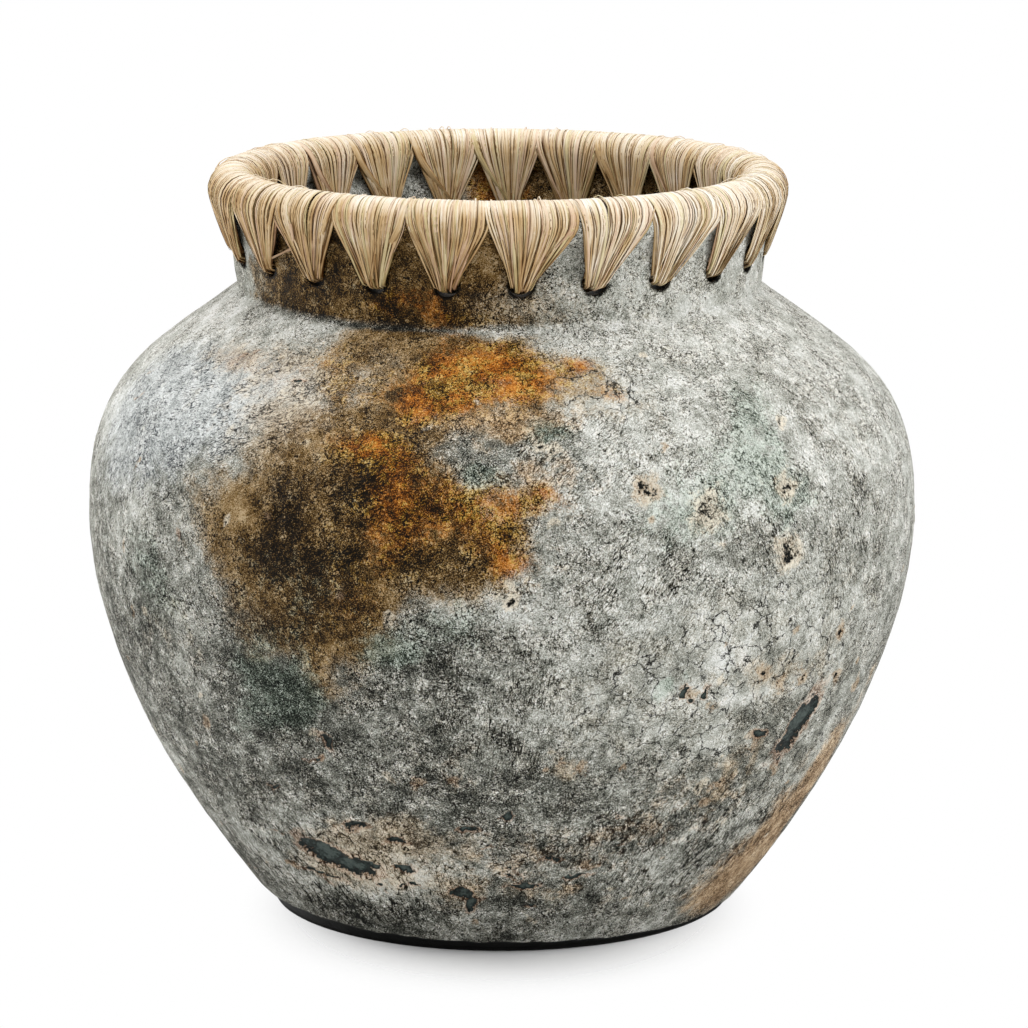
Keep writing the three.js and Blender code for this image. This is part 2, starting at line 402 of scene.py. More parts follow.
# stains on the crust, and patches of painted sheen: angle from the front, height, half width, half height,
# strength, and lean if any
stainSet = {
    "light": [
        (35, 218, 60, 34, -0.04), (-60, 210, 40, 26, -0.07), (-64, 140, 44, 50, -0.22),
        (14, 152, 34, 26, -0.03), (36, 108, 36, 24, 0.08), (30, 68, 40, 18, 0.07), (-44, 84, 40, 26, -0.07),
        (52, 155, 26, 22, -0.11), (33, 197, 14, 9, -0.1), (28, 183, 9, 7, -0.18), (44, 178, 16, 8, -0.14),
        (25, 171, 26, 9, -0.12), (0, 100, 30, 40, -0.08), (2, 66, 60, 18, -0.08), (-35, 104, 40, 34, -0.14),
        (-58, 150, 9, 26, -0.08), (-32, 116, 15, 18, -0.1), (6, 170, 12, 14, -0.16),
        (-3, 205, 26, 12, -0.3), (8, 152, 14, 10, 0.06), (20, 132, 34, 22, 0.04), (30, 104, 34, 22, 0.06),
        (-18, 46, 46, 14, 0.08), (62, 195, 20, 26, 0.04), (-10, 124, 34, 12, -0.14),
        (44, 92, 18, 10, -0.14), (22, 78, 36, 12, -0.1), (34, 62, 40, 10, -0.1), (8, 50, 50, 9, -0.08),
        (-30, 76, 40, 12, -0.06), (14, 22, 70, 7, -0.08), (48, 118, 22, 14, -0.08),
        (150, 170, 60, 40, -0.12), (-130, 90, 60, 40, -0.14), (110, 210, 60, 36, 0.05),
        (-62, 162, 21, 23, 0.17), (-49, 182, 27, 17, -0.16), (-38, 142, 22, 19, -0.17),
        (-11, 136, 22, 14, -0.14), (-16, 94, 21, 20, -0.17), (-14, 113, 16, 14, -0.06),
        (-30, 100, 16, 14, -0.06), (47, 190, 16, 16, 0.06), (35, 193, 16, 10, 0.13),
        (26, 185, 24, 13, 0.07), (20, 168, 12, 9, 0.08), (34, 164, 11, 7, -0.08), (33, 131, 23, 14, 0.11),
        (53, 122, 23, 24, 0.1), (10, 113, 19, 17, 0.12), (19, 82, 20, 14, 0.14), (17, 55, 16, 13, 0.08),
        (39, 23, 29, 19, 0.14), (30, 8, 26, 11, 0.22), (-30, 12, 33, 12, -0.22), (-21, 32, 22, 12, 0.3),
        (3, 18, 30, 12, -0.06), (27, 230, 16, 17, 0.06), (-64, 229, 21, 14, 0.05), (-6, 204, 14, 12, -0.08),
        (-51, 168, 16, 40, -0.05), (-37, 133, 18, 18, -0.07), (-6, 139, 22, 10, -0.08),
        (-13, 121, 16, 10, -0.1), (-30, 109, 18, 16, -0.07), (-9, 74, 50, 24, -0.1), (6, 26, 34, 16, -0.07),
        (-37, 12, 20, 14, -0.2), (37, 98, 10, 9, -0.15), (34, 164, 10, 10, -0.1), (37, 62, 14, 12, -0.1),
        (15, 76, 16, 16, -0.07), (10, 190, 14, 14, -0.08), (34, 133, 10, 10, 0.06),
        (-51, 75, 14, 14, -0.06), (-23, 222, 14, 12, -0.12), (-31, 150, 16, 14, -0.1),
        (-40, 128, 14, 16, -0.05), (20, 137, 10, 8, -0.08), (7, 140, 10, 9, 0.08), (8, 71, 12, 10, 0.05),
        (6, 209, 5, 4, -0.22), (7, 203, 4, 4, -0.2), (-2, 198, 6, 4, -0.15), (40, 150, 50, 40, 0.01),
        (-34, 100, 40, 40, -0.03), (-39, 199, 12, 9, -0.2), (-57, 190, 14, 9, -0.12),
        (-74, 236, 26, 9, 0.14), (-78, 206, 12, 20, 0.1), (-120, 205, 60, 36, 0.04),
        (180, 90, 50, 30, 0.06), (130, 70, 50, 24, -0.12)],
    "rust": [
        (-4, 226, 28, 18, 1), (7, 222, 8, 12, 0.6), (-12, 238, 24, 8, 0.55), (-24, 238, 14, 8, 0.3),
        (0, 239, 18, 4, -0.5), (-19, 221, 18, 24, 0.42), (-28, 217, 26, 26, 0.16), (-12, 209, 14, 10, 0.6),
        (-8, 214, 18, 9, 0.7), (-16, 201, 20, 12, 1), (-32, 203, 16, 12, 0.3), (-39, 174, 20, 18, 0.56),
        (-9, 217, 12, 8, 0.5), (-9, 206, 8, 8, 0.4), (-29, 168, 23, 26, 0.95), (-21, 171, 22, 28, 1),
        (-26, 134, 18, 18, 0.75), (-26, 114, 9, 10, 0.35), (-8, 177, 22, 17, 1), (0, 202, 17, 7, -0.4),
        (4, 191, 9, 4, 0.5), (14, 227, 10, 8, 0.16), (18, 221, 7, 5, 0.22), (-54, 225, 14, 6, 0.25),
        (-38, 226, 28, 13, 0.2), (150, 212, 56, 26, 1), (164, 182, 42, 36, 0.9), (176, 150, 24, 30, 0.6),
        (-105, 60, 24, 16, 0.4)],
    "ember": [
        (-1, 226, 26, 15, 1), (-17, 201, 17, 9, 0.95), (-9, 218, 12, 9, 0.8), (-14, 185, 9, 15, 0.7),
        (1, 167, 7, 10, 0.85), (6, 191, 9, 5, 1), (-5, 180, 24, 14, 0.4), (-3, 188, 14, 8, 0.6),
        (-20, 158, 12, 16, 0.4), (-26, 136, 16, 16, 0.3), (15, 229, 6, 6, 0.8), (18, 220, 5, 5, 0.8),
        (-22, 250, 16, 4, 0.6), (-12, 245, 8, 4, 0.6), (-54, 225, 16, 7, 0.8), (-34, 224, 26, 14, 0.6),
        (150, 214, 46, 17, 1), (164, 186, 28, 20, 0.7)],
    "burnt": [
        (-2, 226, 28, 18, 0.03), (-5, 177, 22, 16, -0.04), (-19, 203, 24, 9, 0.05),
        (-29, 173, 11, 17, -0.18), (-19, 188, 8, 10, -0.2), (-12, 183, 12, 20, -0.06),
        (-29, 168, 16, 24, -0.1), (16, 223, 12, 10, 0.1), (-24, 152, 18, 12, -0.1), (-7, 173, 12, 9, -0.06),
        (-40, 176, 20, 20, 0.18), (-32, 222, 28, 24, 0.26), (-20, 221, 14, 18, 0.06),
        (-27, 166, 24, 26, -0.12), (-22, 186, 14, 14, -0.07), (14, 227, 12, 9, 0.2),
        (-29, 210, 14, 12, 0.14), (-33, 196, 20, 10, 0.08), (-3, 186, 16, 9, 0.07),
        (-24, 223, 14, 14, -0.28), (-19, 183, 10, 10, -0.08), (-27, 158, 14, 18, -0.07),
        (-28, 200, 14, 12, 0.08), (-26, 134, 18, 16, 0.05), (-26, 114, 10, 10, 0.14),
        (150, 214, 44, 18, 0.1), (166, 176, 30, 26, -0.12)],
    # painted sheen: a pale bluish highlight painted over the left shoulder
    "paintedSheen": [
        (-58, 207, 34, 24, 1), (-44, 222, 30, 14, 0.6), (-70, 196, 26, 34, 0.5), (-35, 213, 26, 14, 0.45)],
    "moss": [
        (-33, 118, 13, 16, 0.8, 30), (-30, 106, 13, 10, 0.7), (-37, 98, 14, 8, 0.6), (33, 197, 17, 11, 0.5),
        (42, 203, 11, 22, 0.7), (38, 192, 10, 10, 0.6), (27, 180, 12, 8, 0.9), (44, 178, 14, 6, 0.6),
        (20, 186, 10, 10, 0.6), (23, 116, 4, 3, 1.2), (-14, 132, 11, 7, 1), (6, 209, 5, 4, 1.1),
        (-2, 198, 6, 4, 1), (-58, 150, 11, 12, 0.5), (-52, 140, 12, 11, 0.5), (-6, 143, 11, 7, 0.5),
        (-26, 150, 20, 16, 0.3), (-150, 140, 42, 28, 0.7), (100, 190, 28, 24, 0.6)],
    "tan": [
        (-17, 52, 16, 12, 0.75), (-25, 53, 13, 8, 0.7), (-31, 40, 22, 10, 0.75, -15), (-28, 31, 24, 6, 0.5),
        (-5, 49, 10, 11, 0.6), (-8, 28, 14, 9, 0.6), (8, 33, 15, 8, 0.55), (12, 84, 6, 5, 0.7),
        (36, 69, 5, 14, 0.7), (42, 76, 3, 16, 0.7), (-52, 226, 18, 10, 0.5), (-36, 217, 28, 20, 0.5),
        (-30, 204, 18, 12, 0.4), (42, 113, 26, 9, 0.5), (16, 216, 16, 8, 0.4), (-5, 88, 13, 8, 0.35),
        (-52, 128, 18, 10, 0.35), (170, 50, 60, 26, 0.7)],
    "ochre": [
        (58, 20, 24, 16, 1), (62, 39, 15, 26, 1), (67, 58, 10, 22, 0.8), (73, 80, 8, 22, 0.4),
        (2, 212, 26, 7, 0.45), (6, 198, 18, 6, 0.45), (8, 40, 44, 20, 0.3), (30, 66, 26, 20, 0.28),
        (4, 168, 8, 18, 0.3), (-160, 30, 30, 16, 0.7)],
    "crackle": [
        (36, 104, 46, 28, 1), (24, 117, 26, 18, 0.8), (16, 222, 15, 13, 0.9), (48, 86, 30, 26, 0.9),
        (30, 130, 30, 14, 0.5), (44, 142, 30, 22, 0.5), (130, 180, 50, 40, 0.8), (-140, 110, 50, 40, 0.7)],
}

# fine ridges drawn by the hand that spread the crust: angle, height, half width, half height, slant, strength
rakeSet = {"stretch": 2.6,  # length of a ridge to its width
           "patches": [(-48, 212, 60, 36, 27, 1), (-24, 186, 40, 28, 27, 0.6), (-66, 150, 40, 50, 62, 0.7),
                       (48, 170, 50, 60, -62, 0.8), (-34, 36, 70, 34, -10, 0.8), (36, 44, 70, 40, 12, 0.8),
                       (4, 110, 44, 34, 75, 0.5), (12, 204, 34, 26, 42, 0.9), (20, 150, 34, 34, 48, 0.8),
                       (130, 150, 90, 90, 20, 0.7), (-140, 150, 90, 90, -24, 0.7)]}

# lost flakes of crust: angle, height, half length, half height, lean
flakeSet = [(-33, 42, 11, 5.5, -20), (-28, 38, 10, 4, -20), (-24.5, 39.5, 4, 1.2, 0),
            (-17.5, 39.5, 3.4, 1.8, 12), (-18, 52, 3.4, 1.6, 0), (-5, 58, 3.4, 2.4, 0),
            (-8, 29, 4, 2.6, -30), (-6, 24, 2.4, 3.6, -20), (-25, 56, 5, 1.8, 10), (-17, 32, 5, 1.1, 0),
            (-37, 32, 10, 1, -10), (4, 33, 6, 1, 6), (14, 36, 5, 0.9, 4), (9, 44, 4, 0.8, 0),
            (50, 89.5, 4.6, 14, -26), (41, 89, 3.6, 2.6, 0), (26, 113, 1.7, 1.9, 0), (29, 111, 1.4, 2.1, 0),
            (27, 108, 1.5, 1.2, 0), (-26, 91, 1.4, 3.6, 18), (-29, 84, 3, 1, 20), (-50, 229, 4.5, 0.6, 38),
            (-35, 223, 2.4, 0.8, 5), (-71, 207, 3.5, 0.6, 35), (-74, 214, 3, 0.5, 35),
            (-48, 164, 0.8, 1.8, 0), (150, 70, 14, 6, 15), (160, 66, 6, 3, 0), (-120, 52, 12, 5, -12),
            (-128, 120, 4, 8, 20), (110, 140, 5, 4, 0)]

# blown spots: angle, height, radius, and 1 where the clay shows brown
spotSet = [(41, 161, 5.6, 0.3), (42, 186, 4.4, 0.3), (28, 180, 6, 0.2), (20, 189, 4.2, 0.6), (7, 203, 3, 0),
           (5, 207, 2.4, 0), (45, 206, 2, 0), (44, 130, 2.2, 1), (54, 125, 2.4, 1), (39, 116, 3, 1),
           (43, 110, 2.4, 1), (47, 110, 2.6, 1), (56, 107, 2.6, 1), (64, 99, 3, 1), (27, 112, 2, 1),
           (40, 88, 3.4, 1), (12, 84, 2.4, 1), (36, 72, 2.6, 1), (35, 64, 2.2, 1), (32, 72, 2.2, 0),
           (48, 72, 2.6, 1), (16, 42, 2.4, 1), (-49, 92, 2, 1), (-62, 128, 2.2, 1), (-58, 132, 2, 0),
           (1, 152, 3, 0), (1, 158, 1.6, 0), (-7, 79, 2, 1), (-12, 78, 2.2, 1), (31, 116, 2, 0)]

crustSet = {  # tones from 0, black, to 1, white; heights in millimetres; angles in degrees
    "footTone": 0.425, "toneGain": 0.275, "toneRise": (40, 215),  # paler toward the shoulder
    # holeShadeTone is the painted shade in and round the holes
    "neckTone": 0.56, "neckGain": 0.14, "burntTone": 0.3, "holeShadeTone": -0.35,
    "neckFrom": (240.5, 243), "burnStart": (-76, -44), "burnEnd": (-20, 24),  # the burn on the neck
    "creaseHeight": 241.3, "creaseWidth": 1.2,
    "creaseShadow": ((-60, -40), (-22, -6)), "creaseHighlight": ((-8, 10), (80, 105)),  # its two stretches, of painted shadow and of painted highlight
    "footEdge": ((-180, -130, -70, -40, -5, 10, 35, 60, 140), (4.2, 5.5, 8.4, 6.4, 4.2, 4.2, 3.4, 2.6, 4.2)),
    "swell": (0.7, 75), "ripple": (0.16, 10), "neckSwell": (0.35, 16),  # height and size of unevenness
    "knobs": (0.75, 3.2), "knobPatch": (-38, 205, 56, 40),  # knobbly where the crust was thickest
    "flakeDepth": 1.0, "spotDepth": 0.5, "spotRim": 0.25, "footStep": 1.1,
    "slits": (60, 16, 70, (1.2, 3.4)), "smallSpots": (130, 14, 232, (0.8, 1.8)),  # count, heights, sizes
    "seed": 5,
}
noLoss = (-1, -1.5, -20, 0)  # far from any flake, spot, foot edge and neck
# the hole walls are painted dark: painted shade inside the holes
holeWallFields = {"burnShadeAndSheen": (0.8, 0, crustSet["holeShadeTone"], 0), "relief": noLoss}


def scatter(random, count, low, high, sizes):  # places all round, more of them lower down
    angle = random.uniform(-180, 180, count)
    height = low + (high - low) * random.uniform(0, 1, count) ** 1.4
    return list(zip(angle, height, random.uniform(*sizes, count), random.uniform(0, 1, count) > 0.6))


def rakeField(clay, angle):  # place along and across the ridges, and their strength
    upward = 0.75 * (clay[:, 2] - np.hypot(clay[:, 0], clay[:, 1]))
    best, second = np.zeros((2, len(clay)))
    place = np.zeros((len(clay), 2))
    for k, (*where, slant, strength) in enumerate(rakeSet["patches"]):
        share = strength * smoothStep(-0.3, 0.6, patch(clay, *where))
        across = 150 * np.radians((angle - where[0] + 180) % 360 - 180)
        lean = math.radians(slant)
        along = (across * math.cos(lean) + upward * math.sin(lean)) / rakeSet["stretch"] + 37 * k
        beside = upward * math.cos(lean) - across * math.sin(lean)
        wins = share > best
        second = np.where(wins, best, np.maximum(second, share))
        best = np.where(wins, share, best)
        place[wins] = np.stack([along, beside], axis=1)[wins]
    return np.stack([place[:, 0] * mm, place[:, 1] * mm, np.zeros(len(clay)), best - second], axis=1)


def lostCrust(torn):  # flakes and spots, above 0 inside their edges, and how brown each spot is
    s = crustSet
    random = np.random.default_rng(s["seed"])
    slits = [(angle, height, size, 0.28 * size, random.normal(0, 14))
             for angle, height, size, _ in scatter(random, *s["slits"])]
    flake = np.full(len(torn), -1.0)
    for where in flakeSet + slits:
        flake = np.maximum(flake, np.clip(patch(torn, *where, corners=3), -1, 1))
    spot = np.full(len(torn), -1.5)
    brown = np.zeros(len(torn))
    for angle, height, radius, isBrown in spotSet + scatter(random, *s["smallSpots"]):
        here = patch(torn, angle, height, radius, radius)
        brown = np.where(here > spot, isBrown, brown)
        spot = np.maximum(spot, here)
    return flake, spot, brown


def crustTone(clay, angle, coarse, ragged, stains, onNeck):  # how rusty and how pale the crust is
    s = crustSet
    around = angle + 9 * coarse[:, 0]
    neckBurn = smoothStep(*s["burnStart"], around + 7 * ragged[:, 1])
    neckBurn *= 1 - smoothStep(*s["burnEnd"], around)
    rust = stains["rust"] * (1 - onNeck) + 1.05 * onNeck * neckBurn
    light = s["footTone"] + s["toneGain"] * smoothStep(*s["toneRise"], clay[:, 2]) + stains["light"]
    broken = 1.25 - 0.5 * smoothStep(60, 220, clay[:, 2])
    light += broken * (0.05 * layeredLumps(clay, 24, 21, 3) + 0.14 * layeredLumps(clay, 8, 25, 3))
    wiped = clay * np.array([0.3, 0.3, 1.3])  # drawn out sideways by the wiping hand
    light += 0.12 * layeredLumps(wiped, 7, 29, 3) * smoothStep(150, 40, clay[:, 2])
    neckLight = s["neckTone"] + s["neckGain"] * smoothStep(5, 40, angle) + 0.1 * layeredLumps(clay, 8, 33, 3)
    light = light * (1 - onNeck) + onNeck * neckLight
    dark = s["burntTone"] + stains["burnt"] + 0.19 * layeredLumps(clay, 10, 37, 3)
    dark += onNeck * (0.16 * layeredLumps(clay, 4, 39, 3) - 0.08)
    light += (dark - light) * smoothStep(0.1, 0.95, rust)

    # painted shade round the holes: black, with broken edges
    c = claySet
    beside = (angle - c["firstHoleAngle"] + holePitch / 2) % holePitch - holePitch / 2
    reach = np.hypot(np.radians(beside) * neckRadius, clay[:, 2] - holeHeight)
    rim = 1 - smoothStep(c["holeRadius"] - 0.1, c["holeRadius"] + 0.8, reach + 0.7 * ragged[:, 0])
    light += (s["holeShadeTone"] - light) * rim

    # the crease under the neck has a painted shadow line on the left and a painted highlight line on the
    # right
    crease = np.exp(-((clay[:, 2] - s["creaseHeight"] - 0.4 * coarse[:, 1]) / s["creaseWidth"]) ** 2)
    shadowSide, highlightSide = [smoothStep(*start, angle) * (1 - smoothStep(*end, angle))
                          for start, end in (s["creaseShadow"], s["creaseHighlight"])]
    light += crease * (0.12 * highlightSide - 0.5 * shadowSide)
    return rust * (1 - 0.8 * crease), light


def insideBurnAndShade(deep):  # grey on the left of the neck, burnt brown on the right and blotched below, with painted shade darker deeper inside
    patchy = layeredLumps(deep, 40, 91, 3)
    inNeck = smoothStep(205, 245, deep[:, 2])
    behind = smoothStep(-60, 20, deep[:, 1])
    blotch = 0.6 * smoothStep(-0.1, 0.9, patchy + 0.5 * layeredLumps(deep, 14, 97, 3))
    burnt = smoothStep(-26, 10, deep[:, 0] + 12 * patchy)
    burnt = blotch + (burnt - blotch) * inNeck * behind
    # painted shade: the inside is painted darker below the neck
    light = 0.2 + (0.42 - 0.3 * burnt) * smoothStep(225, 262, deep[:, 2])
    light += 0.1 * layeredLumps(deep, 22, 95, 3)
    glow = 0.8 * smoothStep(30, 0, np.abs(deep[:, 0])) * inNeck * behind
    return np.stack([burnt, glow, light, np.zeros(len(deep))], axis=1)


def clayRelief(points, kinds):  # height of the surface and the fields that the finish reads
    s = crustSet
    outerLip = (kinds == "lip") & (np.hypot(points[:, 0], points[:, 1]) > claySet["lipCentre"][0])
    skin = np.isin(kinds, ("skin", "neck")) | outerLip
    clay = points[skin]
    angle = np.degrees(np.arctan2(clay[:, 0], -clay[:, 1]))
    coarse = np.stack([layeredLumps(clay, 30, 11 * k + 3, 3) for k in range(3)], axis=1)
    ragged = np.stack([layeredLumps(clay, 6, 13 * k + 5, 3) for k in range(3)], axis=1)
    drifted = clay + coarse * 6 + ragged * 1.6
    onNeck = smoothStep(*s["neckFrom"], clay[:, 2])

    stains = {}
    for name, patches in stainSet.items():
        gather = softSum if name in ("light", "burnt") else softUnion
        stains[name] = gather(drifted, patches)
    stains["rust"] += 0.3 * layeredLumps(clay, 18, 43, 4) * smoothStep(0.02, 0.4, stains["rust"])
    rust, light = crustTone(clay, angle, coarse, ragged, stains, onNeck)
    flake, spot, brown = lostCrust(clay + ragged * 2.2)

    # the crust stops short of the floor, highest on the left
    bare = np.interp(angle, *s["footEdge"]) + 0.7 * layeredLumps(clay, 14, 41, 3) - clay[:, 2]

    def uneven(name, seed, layers):
        height, size = s[name]
        return height * layeredLumps(clay, size, seed, layers)

    swell = uneven("swell", 61, 2) + uneven("ripple", 71, 4) + onNeck * uneven("neckSwell", 81, 2)
    swell += smoothStep(-0.5, 0.5, patch(drifted, *s["knobPatch"])) * uneven("knobs", 75, 2)
    swell -= s["flakeDepth"] * smoothStep(-0.02, 0.16, flake)
    swell -= s["spotDepth"] * smoothStep(0.1, 0.6, spot)
    swell += s["spotRim"] * smoothStep(-1.1, -0.2, spot) * (1 - smoothStep(0.0, 0.3, spot))
    swell -= s["footStep"] * smoothStep(-0.6, 0.8, bare)
    swell *= smoothStep(0, 1.2, clay[:, 2]) * smoothStep(276, 268, clay[:, 2])

    height = np.zeros(len(points))
    height[skin] = swell
    fields = {name: np.zeros((len(points), 4)) for name in ("burnShadeAndSheen", "tint", "relief", "bend", "rake")}
    fields["relief"][:] = noLoss
    # rust, ember, tone with its painted shade, and the painted sheen
    fields["burnShadeAndSheen"][skin] = np.stack([rust, stains["ember"], light, stains["paintedSheen"]], axis=1)
    fields["burnShadeAndSheen"][~skin] = insideBurnAndShade(points[~skin])
    fields["tint"][skin] = np.stack([stains[name] for name in ("moss", "tan", "ochre", "crackle")], axis=1)
    fields["relief"][skin] = np.stack([flake, spot, np.clip(bare, -20, 20), onNeck], axis=1)
    fields["bend"][skin] = np.column_stack([ragged, brown])
    fields["rake"][skin] = rakeField(clay, angle)
    return height, fields


def roundHoles(rows, kinds, angle, half):  # cells about each hole are drawn out to a circle
    s = claySet
    around = len(angle)
    cellAngle = 360 / around
    fromHole = (np.arange(around) % s["cellsPerHole"]) - s["cellsPerHole"] / 2
    angles = np.tile(angle, (len(rows), 1))
    radii = np.tile(rows[:, :1], (1, around))
    heights = np.tile(rows[:, 1:], (1, around))
    middles = {}  # the row through the middle of the holes
    for kind in ("neck", "inner"):
        band = np.where(kinds == kind)[0]
        order = band[np.argsort(rows[band, 1])]
        middles[kind] = band[np.argmin(np.abs(rows[band, 1] - holeHeight))]
        for j in band:
            x = np.radians(fromHole * cellAngle) * rows[j, 0]
            z = np.full(around, rows[j, 1] - holeHeight)
            start = half * np.radians(cellAngle) * rows[j, 0]
            square = np.maximum(np.abs(x) / start, np.abs(z) / (half * s["neckStep"]))
            share = np.clip((square - 1) / (s["holeReach"] - 1), 0, 1)
            onCircle = s["holeRadius"] * square / (np.hypot(x, z) + 1e-9)
            scale = np.where(square < s["holeReach"], (1 - share) * onCircle + share, 1)
            heights[j] = holeHeight + z * scale
            radii[j] = np.interp(heights[j], rows[order, 1], rows[order, 0])
            angles[j] = angle + np.degrees((x * scale - x) / rows[j, 0])
    return angles, radii, heights, middles


def holeWalls(points, middles, half):  # each hole's wall joins its rim outside to its rim inside
    s = claySet
    cells = s["cellsPerHole"]
    around = s["holeCount"] * cells
    side = range(2 * half)
    ring = [(k - half, -half) for k in side] + [(half, k - half) for k in side]
    ring += [(half - k, half) for k in side] + [(-half, half - k) for k in side]
    rimCount = len(ring)

    def rim(kind, hole):
        centre = hole * cells + cells // 2
        upward = 1 if kind == "neck" else -1  # rows run upward outside and downward inside
        return np.array([(middles[kind] + upward * b) * around + (centre + a) % around for a, b in ring])

    base = len(points)
    steps = s["holeWallSteps"]
    uvStart, uvExtent = s["wallUv"]
    wallPoints, quads, uv = [], [], []
    for hole in range(s["holeCount"]):
        outer, inner = rim("neck", hole), rim("inner", hole)
        rings = [outer]
        for step in range(1, steps):
            share = step / steps
            wallPoints.append(points[outer] * (1 - share) + points[inner] * share)
            rings.append(base + np.arange(rimCount))
            base += rimCount
        rings.append(inner)
        left = (hole + np.arange(rimCount) / rimCount) / s["holeCount"]
        right = (hole + (np.arange(rimCount) + 1) / rimCount) / s["holeCount"]
        for step, (a, b) in enumerate(zip(rings, rings[1:])):
            quads.append(np.stack([a, np.roll(a, -1), np.roll(b, -1), b], axis=1))
            low, high = [np.full(rimCount, uvStart + uvExtent * k / steps) for k in (step, step + 1)]
            uv.append(cellUv(left, right, low, high))
    return np.vstack(wallPoints), quads, uv


def makeVessel():
    s = claySet
    rows, kinds = clayRows()
    cells = s["cellsPerHole"]
    around = s["holeCount"] * cells
    rowCount = len(rows)
    slope = np.gradient(rows, axis=0)
    slope /= np.linalg.norm(slope, axis=1)[:, None]
    outward = np.stack([slope[:, 1], -slope[:, 0]], axis=1)

    # a hole sits in the middle of every block of cells
    angle = s["firstHoleAngle"] + 360 / around * (np.arange(around) - cells / 2)
    half = round(s["holeBlock"] / s["neckStep"])
    angles, radii, heights, middles = roundHoles(rows, kinds, angle, half)
    turn = np.radians(angles)
    shell = np.stack([radii * np.sin(turn), -radii * np.cos(turn), heights], axis=2)
    normal = np.stack([outward[:, :1] * np.sin(turn), -outward[:, :1] * np.cos(turn),
                       np.tile(outward[:, 1:], (1, around))], axis=2)
    points = shell.reshape(-1, 3)
    relief, fields = clayRelief(points, np.repeat(kinds, around))
    points = points + normal.reshape(-1, 3) * relief[:, None]

    # four corners of every cell, leaving out the cells inside the holes
    j, i = np.meshgrid(np.arange(rowCount - 1), np.arange(around), indexing="ij")
    column = (i % cells) - cells // 2
    solid = np.ones(i.shape, bool)
    for middle in middles.values():
        low = middle - half
        solid &= ~((j >= low) & (j < low + 2 * half) & (column >= -half) & (column < half))
    j, i = j[solid], i[solid]
    quads = gridFaces(j, i, around)
    length = np.concatenate([[0], np.cumsum(np.hypot(*np.diff(rows, axis=0).T))])
    length *= s["shellUv"] / length[-1]
    uv = cellUv(i / around, (i + 1) / around, length[j], length[j + 1])
    wallPoints, wallQuads, wallUv = holeWalls(points, middles, half)

    # the middles of the foot and of the floor
    footMiddle = len(points) + len(wallPoints)
    floorMiddle = footMiddle + 1
    ends = np.array([[0, 0, 0], [0, 0, s["floorMiddle"][1]]], float)
    lastRow = (rowCount - 1) * around
    caps = [(footMiddle, (k + 1) % around, k) for k in range(around)]
    caps += [(lastRow + k, lastRow + (k + 1) % around, floorMiddle) for k in range(around)]
    capUv = [[(k / around, 0), ((k + 1) / around, 0), (k / around, 0.001)] for k in range(around)] * 2

    points = handLean(np.vstack([points, wallPoints, ends]))
    for name in fields:
        extra = np.tile(holeWallFields.get(name, (0, 0, 0, 0)), (len(wallPoints) + 2, 1))
        fields[name] = np.vstack([fields[name], extra])
    quads = np.vstack([quads] + wallQuads)
    uv = np.vstack([uv] + wallUv + [np.reshape(capUv, (-1, 2))])

    # points that no face uses any more are dropped
    used = np.zeros(len(points), bool)
    used[quads.ravel()] = True
    used[[footMiddle, floorMiddle]] = True
    renumber = np.cumsum(used) - 1
    caps = [renumber[list(cap)] for cap in caps]
    fields = {name: values[used] for name, values in fields.items()}
    return makeMesh("clayVessel", points[used], renumber[quads], caps, fields, uv)


crustColours = {  # each finish by its tone, from 0 to 1
    "grey": ((0, (10, 11, 10)), (0.12, (34, 35, 31)), (0.28, (72, 73, 66)), (0.5, (128, 128, 117)),
             (0.72, (182, 183, 174)), (0.88, (218, 219, 213)), (1, (240, 240, 238))),
    "cream": ((0, (14, 11, 8)), (0.12, (42, 36, 28)), (0.28, (82, 75, 60)), (0.5, (138, 130, 112)),
              (0.72, (190, 183, 166)), (0.88, (224, 219, 205)), (1, (243, 240, 232))),
    "umber": ((0, (8, 4, 0)), (0.15, (28, 17, 3)), (0.3, (66, 46, 16)), (0.45, (110, 81, 36)),
              (0.6, (144, 116, 72)), (0.8, (190, 168, 132))),
    "orange": ((0, (20, 8, 0)), (0.15, (60, 28, 2)), (0.3, (112, 56, 4)), (0.45, (160, 86, 10)),
               (0.6, (196, 118, 32)), (0.8, (220, 164, 86))),
    "amber": ((0, (16, 9, 0)), (0.15, (50, 32, 2)), (0.3, (96, 64, 6)), (0.45, (140, 99, 18)),
              (0.6, (178, 137, 48)), (0.8, (210, 180, 110))),
    # the colours of the painted sheen, a painted highlight
    "paintedSheen": ((0.2, (96, 102, 108)), (0.5, (168, 176, 182)), (0.8, (226, 232, 236))),
    "moss": ((0.05, (12, 20, 14)), (0.35, (52, 67, 55)), (0.6, (124, 140, 125)), (0.9, (204, 214, 203))),
    "tan": ((0.05, (38, 28, 17)), (0.35, (112, 94, 69)), (0.6, (174, 154, 124)), (0.9, (224, 211, 187))),
    "ochre": ((0.05, (66, 46, 26)), (0.35, (140, 108, 74)), (0.6, (190, 155, 114)), (0.9, (226, 203, 168))),
    "bareClay": ((0.1, (40, 27, 16)), (0.45, (138, 106, 76)), (0.8, (204, 184, 156))),
    "chalk": ((0.1, (64, 58, 48)), (0.45, (170, 158, 136)), (0.8, (236, 226, 206))),
    "brokenEdge": ((0.1, (62, 40, 26)), (0.45, (166, 128, 100)), (0.8, (216, 194, 172))),
    "slip": ((0.0, (18, 20, 18)), (0.4, (42, 50, 48)), (0.7, (74, 84, 80))),
    "foot": ((0.2, (4, 4, 3)), (0.7, (18, 18, 15))),
}
crackColour = (20, 19, 16)
pitColour = (20, 21, 19)

grainSet = {"fine": 0.42, "grain": 1.2, "grit": 4.5, "slow": 13,  # sizes of the noises in millimetres
            "sand": 0.8, "scales": 4.4, "net": 9.5, "healed": 7}


